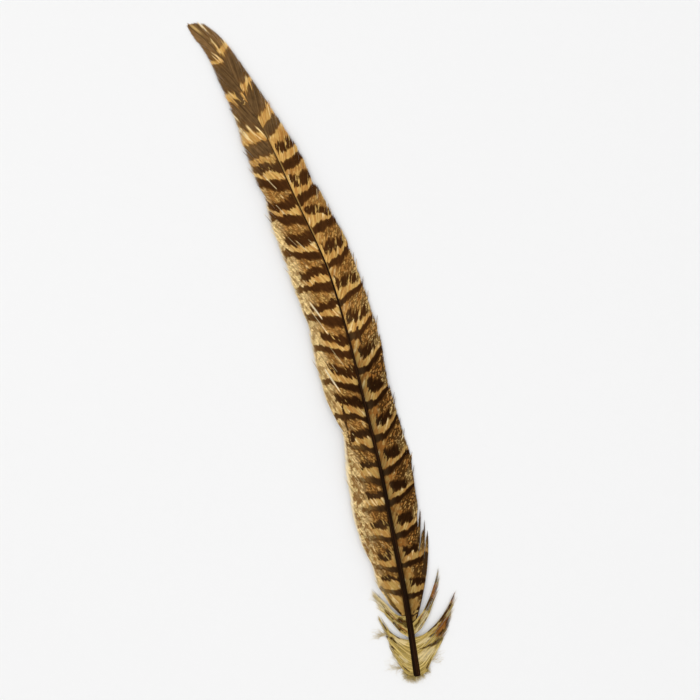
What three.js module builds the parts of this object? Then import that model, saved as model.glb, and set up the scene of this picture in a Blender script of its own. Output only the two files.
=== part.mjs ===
// Pheasant tail feather, lying on its hollow underside with the cut quill towards -Y and the tip
// towards +Y. Millimetres, +Z up. The origin is under the middle of the feather's box.
//
// A station is a distance along the shaft from the cut quill. A reach is a distance to the side of the
// shaft's centre line as seen from above, positive to the right of it. The feather branches from its
// shaft: a web of barbs on each side, and below them four tufts that stand free of the webs.

import * as THREE from 'three';

// Shaft
const SHAFT_LENGTH = 290;
const QUILL_WIDTH = 3.1;
const SHAFT_TIP_WIDTH = 0.35;
const SHAFT_TAPER_POWER = 2.2;
const SHAFT_DEPTH_PER_WIDTH = 0.95;
const SHAFT_SIDES = 12;
const SHAFT_STEPS = 40;

// Pose on the surface: both ends of the shaft touch it, and the middle arches clear of it
const ARCH_RISE = 5.6;

// Webs
const WEB_THICKNESS = 0.36;
const ROOT_GAP = 0.3;
const WEB_SEAT_PER_DEPTH = 0.62;
const WEB_STEP = 6;
const WEB_CELLS_ACROSS = 6;
const WEB_CLEARANCE = 0.25;
const DROOP_LINEAR_SHARE = 0.4;
const LEFT_WEB = { span: 16.5, droop: 0.5 };
const RIGHT_WEB = { span: 13.5, droop: 0.93 };

// Tufts
const TUFT_THICKNESS = 0.4;
const TUFT_TIP_HEIGHT = 0.5;
const TUFT_FALL_POWER = 1.5;
const TUFT_STEPS = 14;
const TUFT_CELLS_ACROSS = 4;

// Route of the shaft seen from above, [x, y] from the cut quill: it bows to the right, and the last
// part turns left to the tip.
const SHAFT_ROUTE = [
  [0, 0],
  [5.5, 28.5],
  [9.8, 57.2],
  [14, 85.8],
  [17, 114.7],
  [19.8, 143.6],
  [20.9, 172.5],
  [18.3, 201.4],
  [15.4, 230.2],
  [10.7, 258.8],
  [6.9, 272.9],
  [0, 285.5],
];

// Outer edge of each web, [station, reach]. The steps in it are where barbs have parted or worn.
const LEFT_EDGE = [
  [26.5, -2],
  [28, -4.6],
  [33, -6.9],
  [41, -10.3],
  [50, -11.4],
  [57, -13.5],
  [69, -15],
  [78, -15.1],
  [92, -14.1],
  [97, -13],
  [107, -11.6],
  [111, -13],
  [122, -15.5],
  [138, -16.1],
  [153, -15],
  [169, -16.2],
  [186, -15.4],
  [202, -13.8],
  [206, -13],
  [209, -11.6],
  [213, -11.7],
  [217, -12.3],
  [230, -11],
  [236, -10.4],
  [241, -9.2],
  [252, -7.7],
  [265, -6.4],
  [278, -4.3],
  [288, -2.3],
  [290, -1.1],
];
const RIGHT_EDGE = [
  [22.5, 2.2],
  [25, 3.3],
  [36, 7.6],
  [46, 12.2],
  [50, 13.2],
  [57, 14],
  [67, 13.2],
  [76, 12.6],
  [89, 13.7],
  [98, 13.4],
  [104, 12.5],
  [122, 11.6],
  [127, 12],
  [141, 13],
  [152, 12.6],
  [165, 11.8],
  [182, 11.8],
  [206, 10.5],
  [208, 9.3],
  [220, 10],
  [234, 8.3],
  [248, 6.7],
  [268, 5.3],
  [282, 5],
  [285, 4.6],
  [287, 3.3],
  [289.5, 1.9],
];

// Each tuft lies between two edges, named as seen going out from the shaft to the tuft's tip.
const TUFTS = {
  right_upper_tuft: {
    left: [[21.8, 1.65], [24.2, 4], [27.2, 7], [31, 9.7], [35.5, 12.1], [39.5, 14.1], [42.9, 15.3]],
    right: [[17.3, 1.7], [19, 4], [21.8, 6.6], [26, 9.6], [31, 12.4], [36, 14.7], [42.8, 15.6]],
  },
  right_lower_tuft: {
    left: [[16, 1.75], [16.8, 5], [18.6, 8], [20.5, 10.5], [23.5, 13.8], [27.5, 17.3], [32.6, 20.6]],
    right: [[0.6, 1.9], [2, 5], [5, 7], [8.5, 9.5], [13, 12.7], [18, 16.2], [24, 18.4], [32.2, 20.9]],
  },
  left_upper_tuft: {
    left: [[16.6, -1.7], [19.5, -4.8], [23.5, -8], [27.5, -10.4], [31.5, -12], [38.5, -13.2]],
    right: [[25.6, -1.65], [27.4, -4.3], [30, -6.3], [33, -8], [36.5, -10.3], [39.3, -12.8]],
  },
  left_lower_tuft: {
    left: [[0.4, -1.9], [0.4, -3.6], [3.5, -5.2], [10, -9], [18, -10.7], [22, -11.9], [28.8, -12.7]],
    right: [[15.4, -1.7], [17, -4.8], [19.5, -7.8], [22.5, -10], [26, -11.5], [29, -12.4]],
  },
};

// Colours and finishes
const QUILL_BROWN = { color: 0x2a1a12, roughness: 0.4, metalness: 0 };
const WEB_BROWN = { color: 0xa07a45, roughness: 0.8, metalness: 0 };
const TUFT_TAN = { color: 0xb79c5c, roughness: 0.9, metalness: 0 };

const shaftRoute = new THREE.CatmullRomCurve3(
  SHAFT_ROUTE.map(([x, y]) => new THREE.Vector3(x, y, 0)),
  false,
  'centripetal',
);

function shaftWidth(station) {
  const toTip = 1 - station / SHAFT_LENGTH;
  return SHAFT_TIP_WIDTH + (QUILL_WIDTH - SHAFT_TIP_WIDTH) * toTip ** SHAFT_TAPER_POWER;
}

function shaftDepth(station) {
  return shaftWidth(station) * SHAFT_DEPTH_PER_WIDTH;
}

function shaftUnderside(station) {
  return ARCH_RISE * Math.sin(Math.PI * station / SHAFT_LENGTH);
}

// Point at a station, a reach and a height, in the feather's frame
function pointAt(station, reach, height) {
  const share = station / SHAFT_LENGTH;
  const centre = shaftRoute.getPointAt(share);
  const along = shaftRoute.getTangentAt(share);
  return new THREE.Vector3(centre.x + along.y * reach, centre.y - along.x * reach, height);
}

// Closed solid through sections of equal point count. Each section runs over its top from left to
// right and back under itself, as seen looking along the loft.
function loft(sections) {
  const count = sections[0].length;
  const triangles = [];
  for (let row = 0; row < sections.length - 1; row += 1) {
    for (let index = 0; index < count; index += 1) {
      const next = (index + 1) % count;
      const here = row * count;
      const ahead = here + count;
      triangles.push(here + index, here + next, ahead + next);
      triangles.push(here + index, ahead + next, ahead + index);
    }
  }
  const last = (sections.length - 1) * count;
  for (let index = 0; index < count / 2 - 1; index += 1) {
    const under = count - 1 - index;
    triangles.push(index, under, under - 1);
    triangles.push(index, under - 1, index + 1);
    triangles.push(last + index, last + under - 1, last + under);
    triangles.push(last + index, last + index + 1, last + under - 1);
  }
  const geometry = new THREE.BufferGeometry().setFromPoints(sections.flat());
  geometry.setIndex(triangles);
  geometry.computeVertexNormals();
  return geometry;
}

// Section of a thin sheet whose middle surface runs through the given points
function sheetSection(middle, thickness) {
  const half = new THREE.Vector3(0, 0, thickness / 2);
  const top = middle.map((point) => point.clone().add(half));
  const bottom = middle.map((point) => point.clone().sub(half));
  return top.concat(bottom.reverse());
}

function buildShaft() {
  const sections = [];
  for (let step = 0; step <= SHAFT_STEPS; step += 1) {
    const station = SHAFT_LENGTH * step / SHAFT_STEPS;
    const halfWidth = shaftWidth(station) / 2;
    const halfDepth = shaftDepth(station) / 2;
    const section = [];
    for (let side = 0; side < SHAFT_SIDES; side += 1) {
      const angle = Math.PI * (1 - (2 * side + 1) / SHAFT_SIDES);
      const height = shaftUnderside(station) + halfDepth * (1 + Math.sin(angle));
      section.push(pointAt(station, halfWidth * Math.cos(angle), height));
    }
    sections.push(section);
  }
  return loft(sections);
}

// Height at which barbs leave the upper part of the shaft's side
function rootHeight(station) {
  return shaftUnderside(station) + WEB_SEAT_PER_DEPTH * shaftDepth(station);
}

// Height of a web's middle surface, which droops outwards from its root
function webHeight(web, station, reach) {
  const out = Math.abs(reach) / web.span;
  const fall = web.droop * (DROOP_LINEAR_SHARE * out + (1 - DROOP_LINEAR_SHARE) * out ** 2);
  return WEB_CLEARANCE + (rootHeight(station) - WEB_CLEARANCE) * (1 - fall);
}

// The outline's own points, with more between them where they are far apart
function refined(outline) {
  const points = [outline[0]];
  for (let index = 1; index < outline.length; index += 1) {
    const [fromStation, fromReach] = outline[index - 1];
    const [toStation, toReach] = outline[index];
    const parts = Math.ceil((toStation - fromStation) / WEB_STEP);
    for (let part = 1; part <= parts; part += 1) {
      const share = part / parts;
      points.push([
        THREE.MathUtils.lerp(fromStation, toStation, share),
        THREE.MathUtils.lerp(fromReach, toReach, share),
      ]);
    }
  }
  return points;
}

function buildWeb(web, outline) {
  const sections = refined(outline).map(([station, edge]) => {
    const root = Math.sign(edge) * (shaftWidth(station) / 2 + ROOT_GAP);
    const left = Math.min(root, edge);
    const right = Math.max(root, edge);
    const middle = [];
    for (let cell = 0; cell <= WEB_CELLS_ACROSS; cell += 1) {
      const reach = THREE.MathUtils.lerp(left, right, cell / WEB_CELLS_ACROSS);
      middle.push(pointAt(station, reach, webHeight(web, station, reach)));
    }
    return sheetSection(middle, WEB_THICKNESS);
  });
  return loft(sections);
}

function edgeCurve(points) {
  return new THREE.SplineCurve(points.map(([station, reach]) => new THREE.Vector2(station, reach)));
}

function buildTuft({ left, right }) {
  const leftEdge = edgeCurve(left);
  const rightEdge = edgeCurve(right);
  const sections = [];
  for (let step = 0; step <= TUFT_STEPS; step += 1) {
    const out = step / TUFT_STEPS;
    const middle = [];
    for (let cell = 0; cell <= TUFT_CELLS_ACROSS; cell += 1) {
      const share = cell / TUFT_CELLS_ACROSS;
      const { x: station, y: reach } = leftEdge.getPoint(out).lerp(rightEdge.getPoint(out), share);
      const root = rootHeight(leftEdge.getPoint(0).lerp(rightEdge.getPoint(0), share).x);
      const height = THREE.MathUtils.lerp(root, TUFT_TIP_HEIGHT, out ** TUFT_FALL_POWER);
      middle.push(pointAt(station, reach, height));
    }
    sections.push(sheetSection(middle, TUFT_THICKNESS));
  }
  return loft(sections);
}

function named(name, geometry, finish) {
  const mesh = new THREE.Mesh(geometry, new THREE.MeshStandardMaterial(finish));
  mesh.name = name;
  return mesh;
}

const feather = new THREE.Group();
feather.add(named('shaft', buildShaft(), QUILL_BROWN));
feather.add(named('left_vane', buildWeb(LEFT_WEB, LEFT_EDGE), WEB_BROWN));
feather.add(named('right_vane', buildWeb(RIGHT_WEB, RIGHT_EDGE), WEB_BROWN));
for (const [name, edges] of Object.entries(TUFTS)) {
  feather.add(named(name, buildTuft(edges), TUFT_TAN));
}

// The origin goes under the middle of the feather's box
const box = new THREE.Box3().setFromObject(feather);
const middle = box.getCenter(new THREE.Vector3());
feather.position.set(-middle.x, -middle.y, -box.min.z);

export default feather;
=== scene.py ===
"""Pheasant tail feather: a dark tapering shaft, two webs of barred barbs, loose tufts and down.

The feather lies on its hollow side, quill end towards -Y and tip towards +Y. Inside this file lengths
are in millimetres. A station is a distance along the shaft from the cut quill, and a reach is a distance
from the shaft's centre line as seen from above, positive to the right of it.
"""

import math
from types import SimpleNamespace

import bpy
import numpy as np
from bpy.props import FloatProperty, FloatVectorProperty, IntProperty, PointerProperty
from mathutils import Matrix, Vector


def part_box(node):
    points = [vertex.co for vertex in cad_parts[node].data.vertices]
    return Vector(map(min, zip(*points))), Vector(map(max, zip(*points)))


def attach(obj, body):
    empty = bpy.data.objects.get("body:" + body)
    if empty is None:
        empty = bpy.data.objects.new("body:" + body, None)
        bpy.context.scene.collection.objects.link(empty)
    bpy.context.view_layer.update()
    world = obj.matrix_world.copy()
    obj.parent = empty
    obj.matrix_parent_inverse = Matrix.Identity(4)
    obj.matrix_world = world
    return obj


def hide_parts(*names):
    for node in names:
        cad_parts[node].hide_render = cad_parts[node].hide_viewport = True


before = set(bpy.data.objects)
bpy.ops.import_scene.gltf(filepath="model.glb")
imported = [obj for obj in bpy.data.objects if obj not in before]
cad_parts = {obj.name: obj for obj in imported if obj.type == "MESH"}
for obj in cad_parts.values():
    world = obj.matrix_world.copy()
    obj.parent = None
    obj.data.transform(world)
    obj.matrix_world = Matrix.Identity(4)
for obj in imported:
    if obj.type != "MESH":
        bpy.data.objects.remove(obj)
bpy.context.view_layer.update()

bl_info = {
    "name": "Pheasant Tail Feather",
    "version": (1, 0, 0),
    "blender": (4, 5, 0),
    "location": "3D View > Sidebar > Feather",
    "description": "Builds a barred tail feather barb by barb around its packed frame",
    "category": "Add Mesh",
}

MM = 0.001

# The shaft, in millimetres
SHAFT_LENGTH = 290.0
QUILL_WIDTH = 3.1
SHAFT_TIP_WIDTH = 0.35
SHAFT_TAPER_POWER = 2.2
SHAFT_DEPTH_PER_WIDTH = 0.95
SHAFT_ROUTE = (
    (0, 0), (5.5, 28.5), (9.8, 57.2), (14, 85.8), (17, 114.7), (19.8, 143.6),
    (20.9, 172.5), (18.3, 201.4), (15.4, 230.2), (10.7, 258.8), (6.9, 272.9), (0, 285.5),
)

# The groove under the shaft: its depth as a share of the shaft's, the stations between which it deepens,
# and its spread round the shaft in radians
GROOVE_DEPTH = 0.3
GROOVE_STATIONS = (18, 45)
GROOVE_SPREAD = 0.42

# The quill's open end, from deep in its bore out to its side, and the closed tip, as (station, share of
# the shaft's width)
QUILL_MOUTH = ((6.0, 0.45), (4.5, 0.62), (0.4, 0.68), (0.0, 0.74), (0.0, 0.94), (0.25, 1.0))
SHAFT_TIP = (SHAFT_LENGTH + 0.25, 0.5)

# The pose: both ends of the shaft touch the surface, and the webs droop from an arched shaft
ARCH_RISE = 5.6
WEB_SEAT_PER_DEPTH = 0.62
WEB_CLEARANCE = 0.25
DROOP_LINEAR_SHARE = 0.4

# Outer edge of each web as (station, reach away from the shaft)
LEFT_EDGE = (
    (23, 1.0), (26.4, 4.0), (32, 7.1), (40.5, 10.6), (50, 11.4), (57, 13.5), (69, 15), (78, 15.1), (92, 14.1),
    (97, 13), (107, 11.6), (111, 13), (122, 15.5), (138, 16.1), (153, 15), (169, 16.2), (186, 15.4),
    (202, 13.8), (206, 13), (209, 11.6), (213, 11.7), (217, 12.3), (230, 11), (236, 10.4), (241, 9.2),
    (252, 7.5), (265, 6.0), (275, 4.4), (281, 3.2), (285, 2.4), (288, 1.5), (289.6, 0.7), (290.4, 0),
)
RIGHT_EDGE = (
    (19.8, 1.4), (25, 4.5), (30, 6.8), (35, 9.0), (40, 11.0), (46, 8.3), (48, 8.8), (52, 9.8), (56, 10.2),
    (60, 10.6), (65, 11.2), (67, 11.6), (69, 12.2), (76, 12.6), (89, 13.7),
    (98, 13.4), (104, 12.5), (122, 11.6), (127, 12), (141, 13), (152, 12.6), (165, 11.8), (182, 11.8),
    (206, 10.5), (208, 9.3), (220, 10), (234, 8.3), (248, 6.7), (268, 5.3), (282, 5), (286, 4.5),
    (288.5, 2.6), (289.8, 1.2), (290.6, 0),
)

# Dark bars from the quill to the tip, by turns broken and solid: the station of the bar's middle at each
# of BAR_REACHES, then half its width near the shaft and near the edge
BAR_REACHES = (1, 5, 9, 12)
LEFT_BARS = (
    (24.5, 25.5, 28, 30, 1.2, 0.8), (34.8, 36.2, 38, 39.5, 1.0, 0.6),
    (41.6, 42.0, 43, 44, 1.1, 0.9), (45.5, 46.3, 47.5, 49, 1.2, 0.9),
    (52.0, 52.4, 53, 53.5, 1.8, 1.2), (57.5, 58.8, 60.3, 61.6, 1.1, 0.7),
    (64.0, 64.6, 64.5, 65, 1.8, 1.5), (70.2, 71.1, 72, 73.5, 1.3, 0.7),
    (76.8, 77.3, 77.5, 77.5, 1.7, 1.9), (82.2, 83.3, 84.9, 87, 1.3, 0.6),
    (89.3, 89.8, 90.2, 91, 1.5, 1.4), (95.8, 96.9, 98.8, 101, 1.2, 0.6),
    (102.5, 102.5, 102.4, 104, 1.7, 1.8), (108.6, 110, 111.2, 112.5, 1.2, 1.0),
    (116.0, 116.8, 118.3, 119.5, 2.3, 1.6), (121.5, 123.2, 124.8, 127.5, 1.7, 1.1),
    (128.8, 129.6, 131.3, 133, 2.5, 1.4), (135.8, 137.8, 139.8, 141.6, 1.8, 1.2),
    (142.2, 143.3, 146, 147.4, 2.5, 1.6), (149.8, 151.3, 153.5, 155.5, 2.1, 1.4),
    (157.8, 157.6, 157.6, 159.5, 2.1, 1.3), (164.8, 166.1, 166.8, 168.2, 2.0, 1.2),
    (172.6, 172.8, 172.5, 173, 2.3, 1.8), (179.0, 180.4, 182.5, 185.6, 2.1, 1.5),
    (187.2, 187.7, 189.7, 191.6, 3.1, 2.0), (194.6, 196.6, 198.5, 202, 2.4, 1.8),
    (203.6, 203.8, 204.6, 208, 2.6, 2.0), (210.6, 212.6, 215.2, 217.3, 2.7, 2.2),
    (219.0, 220.2, 222, 223.5, 2.2, 2.2), (228.0, 228.9, 230.2, 231, 3.6, 3.0),
    (242.8, 245.7, 245.5, 246, 7.6, 6.5), (261.3, 263, 263.5, 264, 7.2, 6.8),
    (283.5, 284, 284, 284, 12.6, 12.0),
)
RIGHT_BARS = (
    (26.5, 27, 28, 29, 0.3, 0.3), (33.2, 33.3, 34, 35, 1.0, 1.1),
    (38.9, 38.8, 39.3, 41, 1.6, 1.5), (46, 46, 46.8, 48, 1.0, 1.2),
    (51.8, 51.8, 52.0, 53, 1.8, 1.6), (58.6, 59, 61, 63.5, 1.5, 1.0),
    (65.2, 65.2, 65.8, 68, 2.2, 1.8), (72.9, 73.4, 75.4, 78, 1.6, 0.8),
    (78.8, 79.0, 79.4, 82, 2.5, 2.0), (85.5, 86.2, 88.9, 91.5, 1.6, 0.8),
    (92.3, 92.4, 93.2, 96, 2.3, 1.9), (100, 100.3, 103.3, 107, 1.6, 0.9),
    (106.7, 106.9, 108.4, 111, 2.3, 1.6), (114.2, 114.5, 117.3, 119.5, 1.7, 1.1),
    (121.4, 121.5, 122.0, 123.5, 2.6, 2.1), (128.2, 128.8, 132.2, 135.4, 1.6, 1.2),
    (135.5, 135.8, 137.2, 139.5, 2.7, 1.8), (143, 143.8, 146.2, 149, 1.6, 1.0),
    (151.3, 151.4, 151.8, 153, 2.5, 2.0), (158.1, 158.9, 160.8, 163, 1.4, 1.1),
    (165.3, 165.5, 165.9, 167.5, 2.2, 1.9), (173.7, 174.7, 176.1, 178.3, 1.4, 1.1),
    (180.6, 180.6, 181.0, 183, 2.0, 1.7), (188.3, 189.0, 190.1, 191.5, 1.9, 1.4),
    (197.2, 196.7, 194.4, 194.8, 1.9, 1.9), (202.6, 203.7, 204.6, 207, 2.4, 1.9),
    (211.4, 211.4, 211.4, 213, 2.6, 2.6), (218.2, 218.9, 220.2, 222, 2.2, 1.8),
    (226.2, 226.4, 226.8, 228, 2.2, 2.1), (234.5, 236.2, 238.5, 241, 2.9, 2.6),
    (247.8, 250.1, 252, 253, 5.8, 5.2), (264.2, 265, 265, 265, 7.7, 6.6),
    (286.8, 287.2, 287.2, 287, 12.4, 12.2),
)

# Strands that part from the right web: root stations of the lowest and the highest barb, reach where they
# bend towards the tip, how sharply, reach where they end, and reach where they begin to part
FREE_STRANDS = (
    (17.6, 24.4, 10.8, 0.50, 14.4, 12.6), (24.4, 27.6, 10.4, 1.05, 13.8, 12.0),
    (27.6, 32.2, 9.2, 0.30, 12.9, 11.4), (32.6, 37.2, 8.6, 0.70, 12.9, 10.4),
)

# Gaps between barbs: station and reach where one starts, reach where it ends, and its width
LEFT_SLITS = (
    (121.8, 8.5, 13.0, 0.9), (145, 7.0, 12.4, 0.5), (152.5, 8.0, 11.6, 0.9), (183, 5.0, 7.6, 0.4),
    (199.7, 6.4, 8.9, 0.4), (209.5, 5.0, 8.6, 0.4), (132, 4.5, 9.0, 0.3), (129, 7.5, 9.6, 0.3),
    (236, 6.6, 8.6, 0.4), (31, 3.0, 6.5, 0.35), (238, 7.8, 9.6, 0.6), (243.5, 7.0, 8.8, 0.55),
    (185.5, 7.6, 10.2, 0.3), (184.0, 1.2, 3.0, 0.25),
)
RIGHT_SLITS = (
    (200.5, 8.0, 9.9, 0.45), (146.5, 11.2, 12.9, 0.5), (282.5, 2.9, 4.3, 0.9), (96.5, 11.4, 13.6, 0.6),
    (220, 6.8, 8.6, 0.3), (239, 5.0, 6.6, 0.35),
)

# Each tuft lies between an upper and a lower edge, as (station, reach) from the shaft to the tuft's tip
RIGHT_UPPER_TUFT = {
    "upper": ((21.8, 1.0), (24.2, 4), (27.2, 7), (31, 9.7), (35.5, 12.1), (39.5, 14.1), (43.1, 15.4)),
    "lower": ((17.3, 1.0), (19, 4), (21.8, 6.6), (26, 9.6), (31, 12.4), (36, 14.7), (42.9, 15.7)),
}
RIGHT_LOWER_TUFT = {
    "upper": ((16, 1.0), (16.8, 5), (18.6, 8), (20.5, 10.5), (23.5, 13.8), (27.5, 17.3), (32.8, 20.8)),
    "lower": (
        (0.0, 1.0), (1.0, 3.5), (2.9, 5.1), (5.4, 6.7), (9, 9.3), (13, 12.1), (18, 15.4), (24, 18.2),
        (32.3, 21),
    ),
}
LEFT_UPPER_TUFT = {
    "upper": ((25.2, 1.0), (26.2, 4.2), (28.8, 6.3), (31.6, 8), (35.4, 10.3), (39.6, 13)),
    "lower": ((16.4, 1.0), (19, 4.3), (23.5, 7.3), (27.5, 9.7), (31, 11.7), (35, 12.9), (38.8, 13.4)),
}
LEFT_LOWER_TUFT = {
    "upper": ((15.2, 1.0), (17, 4.8), (19.5, 7.8), (22.5, 10), (26, 11.5), (29.3, 12.5)),
    "lower": (
        (0.0, 1.0), (0.8, 3.4), (2.8, 5.1), (5.6, 6.5), (8.5, 7.8), (11, 9.2), (15, 9.7), (18, 10.3),
        (22, 11.6), (29, 12.8),
    ),
}


class FeatherSizes(bpy.types.PropertyGroup):
    """Sizes that set how fine the feather is built"""

    barb_pitch: FloatProperty(
        name="Barb pitch", description="Distance between neighbouring barbs in a web",
        default=0.00028, min=0.0002, soft_max=0.0006, precision=5, unit="LENGTH",
    )
    barb_thickness: FloatProperty(
        name="Barb thickness", description="Height of one barb from keel to crown",
        default=0.00016, min=0.00005, soft_max=0.0004, precision=5, unit="LENGTH",
    )
    down_strands: IntProperty(
        name="Down strands", description="Number of fine strands at the quill",
        default=780, min=0, soft_max=1500,
    )


class FeatherColours(bpy.types.PropertyGroup):
    """Colours of the barbs and the shaft"""

    bar: FloatVectorProperty(
        name="Bars", description="Dark brown of the bars", subtype="COLOR", size=3,
        default=(0.062, 0.0222, 0.0055), min=0, max=1,
    )
    tip: FloatVectorProperty(
        name="Tip", description="Softer brown of the feather's tip", subtype="COLOR", size=3,
        default=(0.138, 0.076, 0.029), min=0, max=1,
    )
    tan: FloatVectorProperty(
        name="Tan", description="Golden tan between the bars", subtype="COLOR", size=3,
        default=(0.710, 0.440, 0.128), min=0, max=1,
    )
    rust: FloatVectorProperty(
        name="Rust", description="Red brown of the speckled stretches", subtype="COLOR", size=3,
        default=(0.430, 0.176, 0.036), min=0, max=1,
    )
    cream: FloatVectorProperty(
        name="Cream", description="Pale outer edge of the left web", subtype="COLOR", size=3,
        default=(0.975, 0.735, 0.345), min=0, max=1,
    )
    olive: FloatVectorProperty(
        name="Olive", description="Dull yellow brown of the loose tufts", subtype="COLOR", size=3,
        default=(0.480, 0.335, 0.088), min=0, max=1,
    )
    straw: FloatVectorProperty(
        name="Straw", description="Pale yellow of the loose tufts", subtype="COLOR", size=3,
        default=(0.655, 0.500, 0.175), min=0, max=1,
    )
    # down also colours the pale paint beside the slits, which is partly painted light showing through the
    # gaps.
    down: FloatVectorProperty(
        name="Down", description="Off-white of the down and of gaps between barbs", subtype="COLOR", size=3,
        default=(0.850, 0.770, 0.600), min=0, max=1,
    )
    shaft: FloatVectorProperty(
        name="Shaft", description="Near black brown of the shaft", subtype="COLOR", size=3,
        default=(0.0105, 0.0045, 0.0016), min=0, max=1,
    )


class FeatherStage(bpy.types.PropertyGroup):
    """Camera, light and floor"""

    lens: FloatProperty(
        name="Lens", description="Focal length of the camera", default=100, min=20, unit="CAMERA",
    )
    field: FloatProperty(
        name="Field", description="Width of the surface in the camera's view",
        default=0.28863, min=0.05, unit="LENGTH",
    )
    floor: FloatVectorProperty(
        name="Floor", description="Pale floor", subtype="COLOR", size=3,
        default=(0.90, 0.90, 0.90), min=0, max=1,
    )
    key_power: FloatProperty(
        name="Soft light", description="Power of the large overhead light", default=11, min=0, unit="POWER",
    )
    fill: FloatProperty(
        name="Fill", description="Strength of the even light from all round", default=0.66, min=0,
    )


# ---------------------------------------------------------------------------------------------------
# Shape of the feather
# ---------------------------------------------------------------------------------------------------

def smooth(value, low, high):
    """0 below low, 1 above high, and an even curve between."""
    share = np.clip((np.asarray(value, float) - low) / (high - low), 0, 1)
    return share * share * (3 - 2 * share)


def catmull_rom(points, samples):
    """Centripetal curve through the points, as that many samples per stretch."""
    points = np.asarray(points, float)
    before = 2 * points[0] - points[1]
    after = 2 * points[-1] - points[-2]
    knots = np.vstack([before, points, after])
    share = np.linspace(0, 1, samples, endpoint=False)[:, None]
    made = []
    for index in range(len(points) - 1):
        p0, p1, p2, p3 = knots[index:index + 4]
        d0, d1, d2 = (np.sqrt(np.linalg.norm(b - a)) for a, b in ((p0, p1), (p1, p2), (p2, p3)))
        out = ((p1 - p0) / d0 - (p2 - p0) / (d0 + d1) + (p2 - p1) / d1) * d1
        into = ((p2 - p1) / d1 - (p3 - p1) / (d1 + d2) + (p3 - p2) / d2) * d1
        made.append(
            p1 + out * share
            + (-3 * p1 + 3 * p2 - 2 * out - into) * share ** 2
            + (2 * p1 - 2 * p2 + out + into) * share ** 3
        )
    return np.vstack([*made, points[-1:]])


def route_table():
    """Station, point and direction of many samples along the shaft, seen from above."""
    points = catmull_rom(SHAFT_ROUTE, 60)
    steps = np.linalg.norm(np.diff(points, axis=0), axis=1)
    stations = np.concatenate([[0], np.cumsum(steps)])
    stations *= SHAFT_LENGTH / stations[-1]
    along = np.gradient(points, stations, axis=0)
    return stations, points, along / np.linalg.norm(along, axis=1)[:, None]


ROUTE_STATIONS, ROUTE_POINTS, ROUTE_ALONG = route_table()


def on_plan(station, reach):
    """x and y of points given by station and reach. The shaft runs straight on past its ends."""
    station = np.asarray(station, float)
    x, y = (np.interp(station, ROUTE_STATIONS, ROUTE_POINTS[:, axis]) for axis in (0, 1))
    ax, ay = (np.interp(station, ROUTE_STATIONS, ROUTE_ALONG[:, axis]) for axis in (0, 1))
    past = station - np.clip(station, 0, SHAFT_LENGTH)
    return x + ax * past + ay * reach, y + ay * past - ax * reach


def shaft_width(station):
    """Width of the shaft, which tapers to its tip."""
    to_tip = 1 - np.clip(station, 0, SHAFT_LENGTH) / SHAFT_LENGTH
    return SHAFT_TIP_WIDTH + (QUILL_WIDTH - SHAFT_TIP_WIDTH) * to_tip ** SHAFT_TAPER_POWER


def shaft_underside(station):
    """Height of the arched shaft's underside above the surface."""
    return ARCH_RISE * np.sin(np.pi * np.clip(station, 0, SHAFT_LENGTH) / SHAFT_LENGTH)


def root_height(station):
    """Height at which barbs leave the shaft's side."""
    depth = shaft_width(station) * SHAFT_DEPTH_PER_WIDTH
    return shaft_underside(station) + WEB_SEAT_PER_DEPTH * depth


def web_height(station, reach, span, droop):
    """Height of a web, which droops outwards from its root."""
    out = np.abs(reach) / span
    fall = droop * (DROOP_LINEAR_SHARE * out + (1 - DROOP_LINEAR_SHARE) * out ** 2)
    return WEB_CLEARANCE + (root_height(station) - WEB_CLEARANCE) * (1 - fall)


def shaft_rings(stations, scales, sides):
    """Oval rings round the shaft's centre line, grooved underneath, as (ring, side, xyz)."""
    angle = np.pi * (1 - 2 * np.arange(sides) / sides)[None, :]
    station = np.asarray(stations, float)[:, None]
    width = shaft_width(station)
    depth = width * SHAFT_DEPTH_PER_WIDTH
    from_bottom = (angle + np.pi / 2) / GROOVE_SPREAD
    groove = GROOVE_DEPTH * smooth(station, *GROOVE_STATIONS) * np.exp(-from_bottom ** 2)
    scale = np.asarray(scales, float)[:, None]
    reach = 0.5 * width * np.cos(angle) * scale
    height = shaft_underside(station) + 0.5 * depth * (1 + np.sin(angle) * scale * (1 - groove))
    x, y = on_plan(station, reach)
    return np.stack([x, y, height], axis=-1)


def frame_offset():
    """Shift in millimetres from the shaft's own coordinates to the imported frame."""
    low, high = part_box("shaft")
    ends = shaft_rings([0, SHAFT_LENGTH], [1, 1], 12)
    middle = (ends.reshape(-1, 3).min(0) + ends.reshape(-1, 3).max(0)) / 2
    x_low = shaft_rings(np.linspace(0, SHAFT_LENGTH, 41), np.ones(41), 12)[..., 0].min()
    return np.array([low.x / MM - x_low, (low.y + high.y) / 2 / MM - middle[1], low.z / MM])


OFFSET = frame_offset()


# ---------------------------------------------------------------------------------------------------
# Meshes
# ---------------------------------------------------------------------------------------------------

def stacked(*values):
    """The arrays, stretched to one shape, as one array of vectors."""
    return np.stack(np.broadcast_arrays(*values), axis=-1)


def tube_quads(rings, sides):
    """Faces from each ring of vertices to the next, as vertex numbers (ring, side, corner)."""
    base = (np.arange(rings - 1) * sides)[:, None]
    index = np.arange(sides)[None, :]
    after = (index + 1) % sides
    return np.stack([base + index, base + after, base + sides + after, base + sides + index], axis=-1)


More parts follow.
